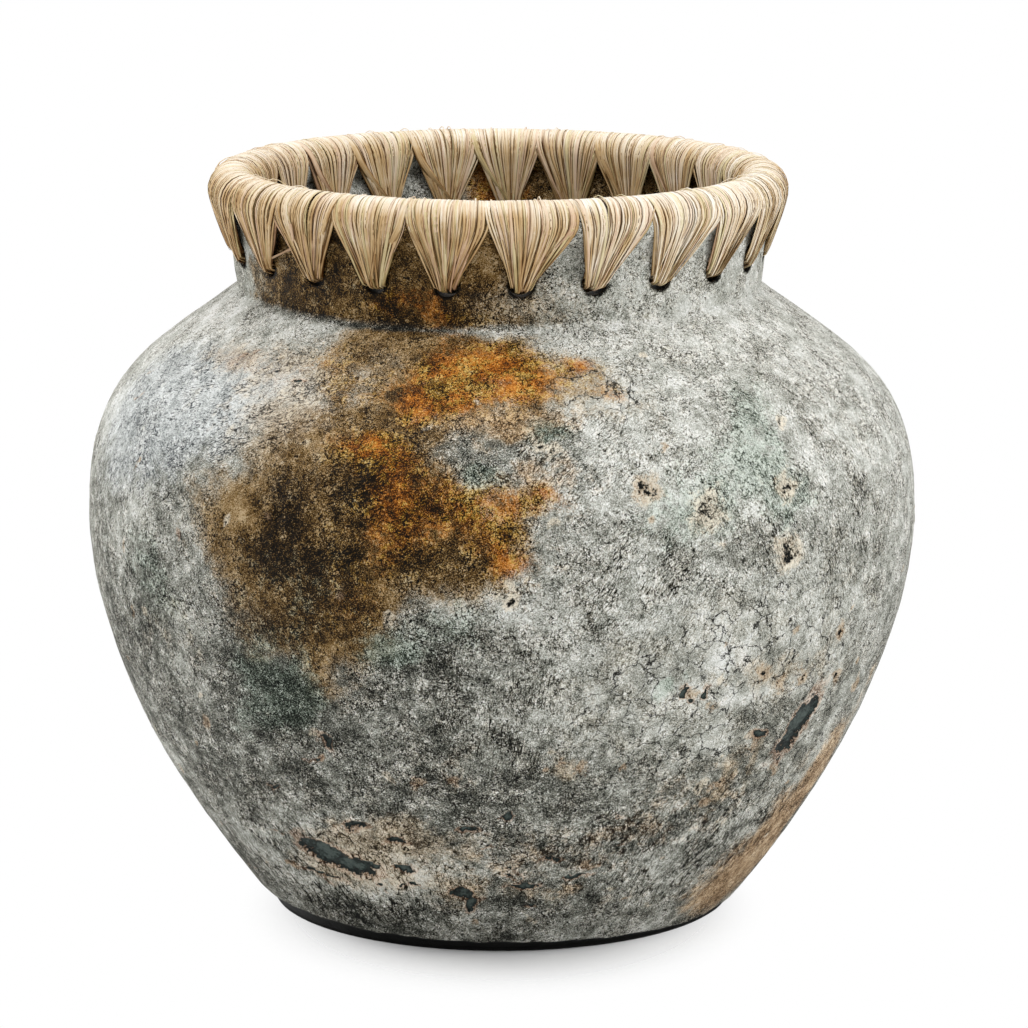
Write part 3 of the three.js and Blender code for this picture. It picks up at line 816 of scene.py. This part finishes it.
def crustFinish():
    f = Finish(bpy.data.materials.new("crustedClay"))
    s = grainSet
    place = f.node("ShaderNodeTexCoord").outputs["Object"]
    fine = f.noise(place, s["fine"], 2, 0.8)
    grain = f.noise(place, s["grain"], 2, 0.6)
    grit = f.noise(place, s["grit"], 3, 0.6)
    slow = f.noise(place, s["slow"], 2, 0.6)
    rust, ember, light, paintedSheen = f.field("burnShadeAndSheen")
    moss, tan, ochre, crackle = f.field("tint")
    flake, spot, bare, neck = f.field("relief")
    drawn, rakeShare = f.vectorField("rake")
    bend, isBrown = f.vectorField("bend")

    def coloured(tone, name):
        return f.ramp(tone, crustColours[name])

    # every grain of sand has its own tone, hue and chance
    jitter = f.swirl(place, 1, 0)
    sand = f.cells(f.shifted(place, jitter, 0.7), s["sand"])
    chip, hue, chance = [f.calc('SUBTRACT', value, 0.5) for value in f.split(sand["Color"])]

    # thin dark hairlines, drawn out along the ridges where the crust was raked
    def hairlines(place, size, detail, width):
        away = f.calc('ABSOLUTE', f.noise(place, size, detail, 0.5))
        return f.without(f.rise(away, 0.2 * width, width))

    often = f.total(0.15, (f.rise(f.total(slow, (grit, -0.6)), -0.1, 0.1), 0.85))
    seldom = f.rise(f.total(grit, (slow, 0.8)), -0.12, 0.12)
    short = f.blend(rakeShare, hairlines(place, 1.5, 2, 0.036), hairlines(drawn, 1.3, 1.5, 0.032))
    long = f.blend(rakeShare, hairlines(place, 2.7, 2.4, 0.022), hairlines(drawn, 2.6, 2, 0.02))
    short = f.times(short, often)
    long = f.times(long, seldom)
    rake = f.times(f.noise(drawn, 0.5, 1.5, 0.6), rakeShare)

    # small scales of crust with dark seams, in patches
    scales = f.cells(f.shifted(place, f.swirl(place, 2.8, 2), 4.4), s["scales"], 'DISTANCE_TO_EDGE')
    seam = f.without(f.rise(f.total(scales["Distance"], (fine, 0.14)), 0.008, 0.052))
    seam = f.times(seam, f.rise(f.total(slow, (grit, 0.5)), 0.0, 0.14))

    # a net of cracks where the crust has crazed
    bent = f.shifted(f.shifted(place, bend, 2.4), jitter, 1.6)
    net = f.cells(bent, s["net"], 'DISTANCE_TO_EDGE')
    crazed = f.rise(f.total(crackle, (grit, 1.8), (slow, 1.4)), 0.26, 0.58)
    crack = f.without(f.rise(f.total(net["Distance"], (fine, 0.05), (grit, 0.07)), 0.006, 0.03))
    healed = f.rise(f.noise(place, s["healed"], 1, 0.5), -0.16, -0.02)  # cracks close up here and there
    crack = f.times(f.times(crack, healed), crazed)
    calm = f.total(1.0, (crazed, -0.4))
    short, long, seam = [f.times(each, calm) for each in (short, long, seam)]

    # dark pits and white flecks between the grains
    speck = f.rise(f.total(chance, (grit, 0.8)), 0.45, 0.48)
    fleck = f.without(f.rise(f.total(chance, (grit, -0.8)), -0.49, -0.45))

    # darker crust is rougher
    rough = f.total(1.85, (light, -1.3), (neck, -0.2), (rust, -0.25), (crazed, -0.2))
    texture = f.total(0.13, (fine, 1.85), (grit, 0.85), (slow, 0.35), (rake, 0.9))
    texture = f.total(texture, (short, -0.62), (long, -0.92), (seam, -0.42), (speck, -0.3), (fleck, 0.16))
    tone = f.calc('MULTIPLY_ADD', texture, rough, f.calc('ADD', light, 0.005))
    creamShare = f.times(f.rise(f.total(slow, (hue, 0.25), (grit, 0.8)), -0.15, 0.3), 0.5)
    crust = f.mix(creamShare, coloured(tone, "grey"), coloured(tone, "cream"))

    # rust settles in the hollows first, and glows where it was hottest
    amberShare = f.rise(f.total(slow, (hue, 0.2), (grit, 0.6)), -0.08, 0.14)
    glowing = f.mix(amberShare, coloured(tone, "orange"), coloured(tone, "amber"))
    emberShare = f.rise(f.total(ember, (hue, 0.3), (grit, 1.2), (slow, 0.8)), 0.25, 0.9)
    hollow = f.total(0.0, (fine, -0.5), (grain, -0.25), (grit, 0.5), (rake, -0.5), (hue, 0.12), (long, 0.15))
    rustShare = f.rise(f.total(0.0, (rust, 1.12), (hollow, 1)), 0.06, 0.86)
    colour = f.mix(rustShare, crust, f.mix(emberShare, coloured(tone, "umber"), glowing))

    # washes of stain over the crust, and the painted sheen, a painted highlight: how far each breaks up, and
    # its strength
    for amount, name, spread, strength in ((paintedSheen, "paintedSheen", 0.8, 0.45), (moss, "moss", 1.2, 0.7),
                                           (tan, "tan", 0.9, 0.7), (ochre, "ochre", 0.8, 0.85)):
        share = f.rise(f.total(amount, (grain, 0.5 * spread), (grit, spread), (slow, spread)), 0.2, 0.85)
        colour = f.mix(f.times(share, strength), colour, coloured(tone, name))
    colour = f.mix(f.times(crack, 0.95), colour, paint(*crackColour))

    # blown spots: a pale or brown crumbled ring round a small dark pit
    spotEdge = f.total(spot, (grit, 2), (grain, 1.2), (chip, 0.4))
    halo = f.times(f.rise(spotEdge, -0.7, 0.3), 0.75)
    haloTone = f.total(tone, (halo, 0.2))
    brown = f.rise(f.total(isBrown, (hue, 0.5)), 0.2, 0.8)
    colour = f.mix(halo, colour, f.mix(brown, coloured(haloTone, "chalk"), coloured(haloTone, "bareClay")))
    pit = f.rise(f.total(spotEdge, (fine, 1.2)), 0.6, 0.74)
    colour = f.mix(pit, colour, paint(*pitColour))

    # lost flakes: dark slip with painted shadow along its edge, and the clay showing along the broken edge
    flakeEdge = f.total(flake, (grit, 1.1), (grain, 0.4), (chip, 0.2))
    edgeShare = f.times(f.rise(flakeEdge, -0.6, -0.05), 0.6)
    colour = f.mix(edgeShare, colour, coloured(tone, "brokenEdge"))
    lost = f.rise(flakeEdge, 0.0, 0.08)
    # the slip is painted darker toward the flake's edge: painted shadow in the hollow
    slipAndShadeTone = f.total(0.14, (f.rise(flakeEdge, 0.05, 0.75), 0.5), (grit, 1), (grain, 0.7))
    colour = f.mix(lost, colour, coloured(slipAndShadeTone, "slip"))

    # bare black foot under the crust
    footShare = f.rise(f.total(bare, (grit, 2.5)), -0.3, 0.4)
    colour = f.mix(footShare, colour, coloured(f.total(0.4, (grit, 0.9)), "foot"))
    f.feed(f.shader.inputs["Base Color"], colour)

    hard = f.calc('MAXIMUM', lost, footShare)
    gloss = f.total(0.72, (rustShare, -0.2), (grain, 0.3))
    f.feed(f.shader.inputs["Roughness"], f.blend(hard, gloss, 0.42))
    f.shader.inputs["Specular IOR Level"].default_value = 0.1

    bumps = f.total(0.0, (fine, 0.14), (grain, 0.3), (grit, 0.9), (rake, 0.3))
    bumps = f.total(bumps, (speck, -0.1), (long, -0.12), (seam, -0.12))
    bumps = f.times(bumps, f.without(f.times(hard, 0.8)))
    f.bump(f.total(bumps, (crack, -0.5), (pit, -0.6), (lost, -0.7)))
    return f.holder


vessel = makeVessel()
vessel.data.materials.append(crustFinish())
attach(vessel, "root")
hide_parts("vessel")
print("vessel made:", len(vessel.data.polygons), "faces")


# raffia bound over the lip, one bundle of strips for each hole

raffiaSet = {  # millimetres; tones from 0 to 1
    "underStrips": 17, "underWidth": (2.3, 3.3), "underLift": (0.3, 0.8), "underShade": 0.2,
    # the thin dark strips of the fourth layer stand for the shade in the gaps between strips: painted shadow
    "shadowStrips": 12, "shadowStripWidth": (0.14, 0.26), "shadowStripLift": (1.7, 1.8), "shadowStripTone": (-0.2, 0.1), "shadowStripThinning": 0.7,
    "strips": 54, "stripWidth": (0.6, 1.7), "lift": (1.35, 1.7), "crestLift": 1.5,
    "stripThickness": 0.12, "narrowing": 0.3,
    "ribbons": 5, "ribbonWidth": (0.9, 1.6), "ribbonLift": (1.6, 1.75),
    "crossing": {"underStrips": 0.1, "strips": 0.12, "ribbons": 0.3, "shadowStrips": 0.12},
    "pinchWidth": (7.8, 0.6), "holeRise": (-3.6, 1.6), "tipArc": 1.3, "spread": (1.1, 0.05),
    "neckGap": 0.6, "lipGap": 0.35, "lipTurns": (-14, 20, 55, 90, 125, 160, 194),  # degrees round the lip
    "scatter": (0.35, 0.5), "twist": (4, 5),  # degrees, outside and inside, lean and sway
    "lean": ((-180, -60, -26, -10, 5, 20, 60, 110, 180), (1.6, 1.2, 0.4, 0.8, 2.4, 4.2, 4.6, 2.5, 1.6)),
    "paintedSideLight": ((-120, -70, -15, 8, 22, 70, 120), (0.1, -0.03, 0, 0.04, 0.3, 0.3, 0.1)),  # painted light, by angle
    # the last pair here sets how dark the painted shadow along each strip's edges runs
    "tone": (0.66, 0.05), "crest": (282.5, 290), "edgeShadow": (0.05, 0.75),
    "bleachAndHighlight": (0.35, 0.12, 0.46),  # at the hole, more up the side, more over the crest; partly bleached leaf, partly painted highlight from above
    "sashShare": 0.6, "sashWidth": (2.2, 3.2), "sashLift": (1.9, 2.2), "sashPlace": (0.82, 0.96),
    "sashTone": 0.62,
    "steps": 32, "sides": 6, "strayFibres": 4, "strayWidth": 0.4, "strayThickness": 0.3, "strayTone": 0.7,
    "looseFan": 19, "looseWidth": 2.0, "looseTone": 0.7, "looseTint": 0.05,
    "looseStrand": [(103.4, 258, -57.5), (104.2, 261, -54), (104.6, 264.5, -49), (106, 267, -45),
                    (110, 271, -43.5), (112, 277, -43)],  # radius, height, angle
    "seed": 100,
}


def smoothPath(points, rounds=2):  # rounds off the corners of a path, keeping its ends
    for _ in range(rounds):
        first = points[:-1] * 0.75 + points[1:] * 0.25
        second = points[:-1] * 0.25 + points[1:] * 0.75
        middle = np.stack([first, second], axis=1).reshape(-1, points.shape[1])
        points = np.vstack([points[:1], middle, points[-1:]])
    return points


def evenSteps(points, count):
    length = np.concatenate([[0], np.cumsum(np.linalg.norm(np.diff(points, axis=0), axis=1))])
    marks = np.linspace(0, length[-1], count)
    return np.stack([np.interp(marks, length, points[:, k]) for k in range(3)], axis=1), marks


def aroundAxis(stations):  # radius, height and angle of each point as a place
    r, z, degrees = np.array(stations).T
    turn = np.radians(degrees)
    return np.stack([r * np.sin(turn), -r * np.cos(turn), z], axis=1)


# from the hole over the lip and back; across runs from -1 to 1 over the fan
def stripPath(hole, across, lifts, crossing, random, gather=0.92):
    s = raffiaSet
    lift = random.uniform(*lifts) * (1 - 0.4 * across ** 2)
    evened = s["crestLift"] + 0.35 * (lift - s["crestLift"])  # pulled flat over the crest
    rise = holeHeight + random.uniform(*s["holeRise"]) + s["tipArc"] * across ** 2
    gathered = np.clip(gather * across + random.normal(0, crossing), -1, 1)  # strips cross on their way
    pinch = np.degrees(gathered * hole["pinch"] / 2 / neckRadius)
    fan = across * holePitch / 2 * hole["spread"] + hole["lean"] * (1 - 0.2 * abs(across))
    outside, inside = [fan + random.normal(0, reach) for reach in s["scatter"]]
    inside -= 0.4
    out = neckRadius + s["neckGap"] + lift * 0.55
    within = innerNeckRadius - s["neckGap"] - lift * 0.5
    middle = (neckRadius + innerNeckRadius) / 2
    stations = [(middle, rise, pinch), (neckRadius - 1, rise, pinch), (out, rise + 0.5, pinch)]
    full = hole["fullness"]  # some fans hang straight, others bulge on their right
    closing = (0.78 + 0.2 * full, 0.92 + 0.13 * full, 1 + 0.02 * full) if across > 0 else (0.72, 0.87, 0.96)
    closing += (1, 0.99, 0.92, 0.77)
    for k, (degrees, close) in enumerate(zip(s["lipTurns"], closing)):
        reach = claySet["lipRadius"] + s["lipGap"] + (evened if 20 < degrees < 160 else lift)
        r, z = lipPoint(degrees, reach)
        stations.append((r, z, (outside + (inside - outside) * k / 6) * close + pinch * (1 - close) * 0.3))
    inner = pinch * 0.9
    stations += [(within, rise + 0.4, inner), (innerNeckRadius + 1, rise, inner), (middle, rise, inner)]
    return aroundAxis([(r, z, hole["angle"] + degrees) for r, z, degrees in stations])


def addStrip(bundle, path, width, thickness, tone, tint, random, narrowing, thinning=0):
    s = raffiaSet
    steps, sides = s["steps"], s["sides"]
    path, along = evenSteps(smoothPath(path), steps)
    share = along / along[-1]
    crest = smoothStep(*s["crest"], path[:, 2])

    # the strip lies flat on the lip, but for a slight twist
    tangent = np.gradient(path, axis=0)
    tangent /= np.linalg.norm(tangent, axis=1)[:, None]
    flat = np.hypot(path[:, 0], path[:, 1])
    lipR, lipZ = claySet["lipCentre"]
    away = path.copy()
    away[:, :2] *= ((flat - lipR) / flat)[:, None]
    away[:, 2] -= lipZ
    away -= tangent * np.sum(away * tangent, axis=1)[:, None]
    away /= np.linalg.norm(away, axis=1)[:, None]
    sideways = np.cross(tangent, away)
    leanBy, swayBy = s["twist"]
    leaning = random.normal(0, leanBy)
    turning = share * random.uniform(0.6, 1.6) + random.random()
    twist = np.radians(leaning + swayBy * np.sin(2 * np.pi * turning))
    outward = away * np.cos(twist)[:, None] + sideways * np.sin(twist)[:, None]
    wide = sideways * np.cos(twist)[:, None] - away * np.sin(twist)[:, None]

    belly = np.sin(np.pi * np.clip(share, 0, 1)) ** 0.7
    halfWidth = width / 2 * (1 - narrowing + narrowing * belly)
    halfWidth = halfWidth * (1 + 0.12 * np.sin(share * 19 + random.random() * 6))
    halfWidth *= 1 + thinning * (0.4 - crest)
    angle = 2 * np.pi * np.arange(sides) / sides
    cupped = 0.1 * min(width, 1.6) * (np.cos(angle) ** 2 - 0.5)  # strips dry slightly cupped
    rings = (path[:, None] + wide[:, None] * (halfWidth[:, None] * np.cos(angle))[:, :, None]
             + outward[:, None] * (thickness / 2 * np.sin(angle) - cupped)[None, :, None])

    # paler up the side and palest over the lip, partly bleached leaf and partly painted highlight; painted
    # shadow along both edges
    atHole, upSide, overCrest = s["bleachAndHighlight"]
    bleachedAndLit = atHole + upSide * smoothStep(256, 281, path[:, 2]) + overCrest * crest
    # painted shadow along both edges of each strip, where strips overlap
    edge = np.abs(np.cos(angle)) ** 6
    edgeShadow = random.uniform(*s["edgeShadow"]) * (1 - 0.5 * crest)
    shade = (bleachedAndLit + (tone - s["tone"][0]) * (1 - 0.7 * crest))[:, None] - edgeShadow[:, None] * edge
    acrossStrip = halfWidth[:, None] * np.cos(angle) + 11 * bundle["strips"]
    alongStrip = np.tile(along[:, None], (1, sides))
    values = np.stack([acrossStrip, alongStrip, shade, np.full((steps, sides), tint)], axis=2)

    start = bundle["count"]
    j, i = np.meshgrid(np.arange(steps - 1), np.arange(sides), indexing="ij")
    bundle["quads"].append(start + gridFaces(j, i, sides))
    bundle["caps"].append(start + np.arange(sides)[::-1])
    bundle["caps"].append(start + (steps - 1) * sides + np.arange(sides))
    bundle["points"].append(rings.reshape(-1, 3))
    bundle["fibre"].append(values.reshape(-1, 4))
    bundle["uv"].append(cellUv(i / sides, (i + 1) / sides, j / steps, (j + 1) / steps))
    bundle["count"] += steps * sides
    bundle["strips"] += 1


def bundleUv(bundle):  # every strip has its own column, with its two ends above it
    count, sides = bundle["strips"], raffiaSet["sides"]
    blocks = []
    for k, block in enumerate(bundle["uv"]):
        blocks.append(np.stack([(k + 0.05 + 0.9 * block[:, 0]) / count, 0.98 * block[:, 1]], axis=1))
    turn = 2 * np.pi * np.arange(sides) / sides
    for k in range(2 * count):
        u = (k // 2 + 0.5 + 0.3 * np.cos(turn)) / count
        blocks.append(np.stack([u, 0.99 + 0.004 * np.sin(turn) + 0.006 * (k % 2)], axis=1))
    return np.vstack(blocks)


def makeFan(index):
    s = raffiaSet
    random = np.random.default_rng(s["seed"] + index)
    angle = (claySet["firstHoleAngle"] + holePitch * index + 180) % 360 - 180
    paintedSideLight = np.interp(angle, *s["paintedSideLight"])  # painted light: the fans on the right are painted paler
    hole = {"angle": angle, "lean": np.interp(angle, *s["lean"]) + random.normal(0, 0.4),
            "spread": random.normal(*s["spread"]), "pinch": random.normal(*s["pinchWidth"]),
            "phase": random.uniform(0, 6), "fullness": random.random() ** 1.5}
    bundle = {"points": [], "quads": [], "caps": [], "fibre": [], "uv": [], "count": 0, "strips": 0}
    for layer, widths, lifts in (("underStrips", "underWidth", "underLift"), ("strips", "stripWidth", "lift"),
                                 ("ribbons", "ribbonWidth", "ribbonLift"), ("shadowStrips", "shadowStripWidth", "shadowStripLift")):
        places = (np.arange(s[layer]) + 0.5) / s[layer] * 2 - 1 + random.normal(0, 0.03, s[layer])
        for across in random.permutation(places):
            path = stripPath(hole, across, s[lifts], s["crossing"][layer], random)
            width = random.uniform(*s[widths])
            tone = random.normal(*s["tone"]) + 0.07 * np.sin(5 * across + hole["phase"])
            tone += 0.05 * np.sin(11 * across) + paintedSideLight
            if layer == "underStrips":
                # these thin strips are painted dark: painted shadow of the gaps between strips
                tone -= s["underShade"]
            if layer == "shadowStrips":
                tone = random.uniform(*s["shadowStripTone"])
            addStrip(bundle, path, width, s["stripThickness"], tone, random.random(), random, s["narrowing"],
                     s["shadowStripThinning"] if layer == "shadowStrips" else 0)
    if random.random() < s["sashShare"]:  # a broad strip drawn across the others toward the hole
        path = stripPath(hole, random.uniform(*s["sashPlace"]), s["sashLift"], 0.1, random, -0.6)
        width = random.uniform(*s["sashWidth"])
        addStrip(bundle, path, width, s["stripThickness"], s["sashTone"], random.random(), random, 0.3)
    for _ in range(s["strayFibres"]):
        path = stripPath(hole, random.uniform(-1.05, 1.05), s["lift"], 0.3, random)
        path[4:9] += random.normal(0, 0.6, (5, 3)) + np.array([0, 0, 0.4])
        width, thickness, tone = s["strayWidth"], s["strayThickness"], s["strayTone"]
        addStrip(bundle, path, width, thickness, tone, random.random(), random, 0.3)
    if index == s["looseFan"]:
        path = aroundAxis(s["looseStrand"])
        tone, tint = s["looseTone"], s["looseTint"]
        addStrip(bundle, path, s["looseWidth"], s["stripThickness"], tone, tint, random, 0.2)

    points = handLean(np.vstack(bundle["points"]))
    fan = makeMesh(f"raffiaFan{index + 1:02d}", points, np.vstack(bundle["quads"]), bundle["caps"],
                   {"fibre": np.vstack(bundle["fibre"])}, bundleUv(bundle))
    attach(fan, "root")
    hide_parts(f"raffia_fan_{index + 1:02d}")
    return fan


raffiaColours = {  # each dye of the leaf by its tone, from 0 to 1
    "straw": ((0.0, (92, 56, 18)), (0.25, (163, 125, 78)), (0.5, (209, 178, 131)),
              (0.75, (236, 220, 194)), (1, (249, 243, 233))),
    "green": ((0.0, (100, 78, 40)), (0.3, (180, 156, 106)), (0.55, (214, 196, 150)), (1, (240, 230, 200))),
    "rosy": ((0.0, (108, 72, 42)), (0.3, (184, 146, 112)), (0.55, (218, 188, 156)), (1, (242, 226, 206))),
}


def raffiaFinish():
    f = Finish(bpy.data.materials.new("raffiaStrip"))
    across, along, tone, tint = f.field("fibre")
    grainPlace = f.node("ShaderNodeCombineXYZ")  # streaks are drawn out along the strip
    f.feed(grainPlace.inputs[0], f.times(across, 4 * mm))
    f.feed(grainPlace.inputs[1], f.times(along, 0.12 * mm))
    f.feed(grainPlace.inputs[2], f.times(tint, 0.2))
    streak = f.noise(grainPlace.outputs[0], 1.3, 4, 0.7)
    slow = f.noise(f.node("ShaderNodeTexCoord").outputs["Object"], 9, 3, 0.5)
    level = f.total(0.14, (tone, 0.8), (streak, 0.9), (slow, 0.5))
    straw, green, rosy = [f.ramp(level, raffiaColours[name]) for name in ("straw", "green", "rosy")]
    colour = f.mix(f.rise(tint, 0.82, 0.9), straw, green)
    colour = f.mix(f.without(f.rise(tint, 0.12, 0.2)), colour, rosy)
    f.feed(f.shader.inputs["Base Color"], colour)
    f.feed(f.shader.inputs["Roughness"], f.total(0.5, (streak, 0.3)))
    f.shader.inputs["Specular IOR Level"].default_value = 0.15
    f.bump(f.total(0.0, (streak, 0.14)))
    return f.holder


raffia = raffiaFinish()
for fanIndex in range(claySet["holeCount"]):
    makeFan(fanIndex).data.materials.append(raffia)
print("raffia bound:", claySet["holeCount"], "fans")


# floor, soft lights and a white surround

stageSet = {  # metres
    "floorRadius": 3.0, "floorSides": 96, "floorDrop": 0.0002, "floorColour": (240, 241, 241),
    "fadeStart": 0.05, "fadeEnd": 0.135, "fadeShift": 0.02, "fadeWidth": 1.3,  # to white round the foot
    "surround": 0.62,
    "key": {"place": (-1.75, 0.45, 1.35), "aim": (0, 0, 0.18), "size": 1.1, "power": 18,
            "colour": (1, 0.99, 0.98)},
    "top": {"place": (0.35, -0.45, 2.2), "aim": (0, 0, 0.1), "size": 1.4, "power": 20, "colour": (1, 1, 1)},
    "right": {"place": (1.9, -0.9, 0.9), "aim": (0, 0, 0.15), "size": 1.2, "power": 13, "colour": (1, 1, 1)},
}


def makeFloor():
    s = stageSet
    mesh = bpy.data.meshes.new("paleFloor")
    turn = np.linspace(0, 2 * np.pi, s["floorSides"] + 1)[:-1]
    points = [(s["floorRadius"] * math.cos(a), s["floorRadius"] * math.sin(a), -s["floorDrop"]) for a in turn]
    mesh.from_pydata(points, [], [list(range(s["floorSides"]))])
    floor = bpy.data.objects.new("paleFloor", mesh)
    scene.collection.objects.link(floor)
    f = Finish(bpy.data.materials.new("floorPaper"))
    f.shader.inputs["Base Color"].default_value = paint(*s["floorColour"])
    f.shader.inputs["Roughness"].default_value = 0.9
    f.shader.inputs["Specular IOR Level"].default_value = 0.1
    place = f.node("ShaderNodeMapping")
    f.feed(place.inputs["Vector"], f.node("ShaderNodeTexCoord").outputs["Object"])
    place.inputs["Location"].default_value = (0, s["fadeShift"], 0)
    place.inputs["Scale"].default_value = (s["fadeWidth"], 1, 1)
    reach = f.node("ShaderNodeVectorMath", operation='LENGTH')
    f.feed(reach.inputs[0], place.outputs[0])
    fade = f.rise(reach.outputs["Value"], s["fadeStart"], s["fadeEnd"])
    seen = f.node("ShaderNodeLightPath").outputs["Is Camera Ray"]
    clear = f.node("ShaderNodeBsdfTransparent")
    both = f.node("ShaderNodeMixShader")
    f.feed(both.inputs[0], f.times(fade, seen))
    f.feed(both.inputs[1], f.shader.outputs[0])
    f.feed(both.inputs[2], clear.outputs[0])
    f.feed(f.tree.nodes["Material Output"].inputs["Surface"], both.outputs[0])
    mesh.materials.append(f.holder)


def makeSurround():  # white to the camera, softer as a light
    scene.world = bpy.data.worlds.new("whiteSurround")
    f = Finish(scene.world, "Background")
    f.shader.inputs["Color"].default_value = (1, 1, 1, 1)
    rays = f.node("ShaderNodeLightPath").outputs
    seen = f.calc('MAXIMUM', rays["Is Camera Ray"], rays["Is Transmission Ray"])
    f.feed(f.shader.inputs["Strength"], f.blend(seen, stageSet["surround"], 1))


def makeLight(name):
    s = stageSet[name]
    data = bpy.data.lights.new(name + "Light", 'AREA')
    data.shape = 'DISK'
    data.size = s["size"]
    data.energy = s["power"]
    data.color = s["colour"]
    lamp = bpy.data.objects.new(name + "Light", data)
    lamp.location = s["place"]
    aim = Vector(s["aim"]) - lamp.location
    lamp.rotation_euler = aim.to_track_quat('-Z', 'Y').to_euler()
    scene.collection.objects.link(lamp)


makeFloor()
makeSurround()
for lightName in ("key", "top", "right"):
    makeLight(lightName)
print("stage lit")
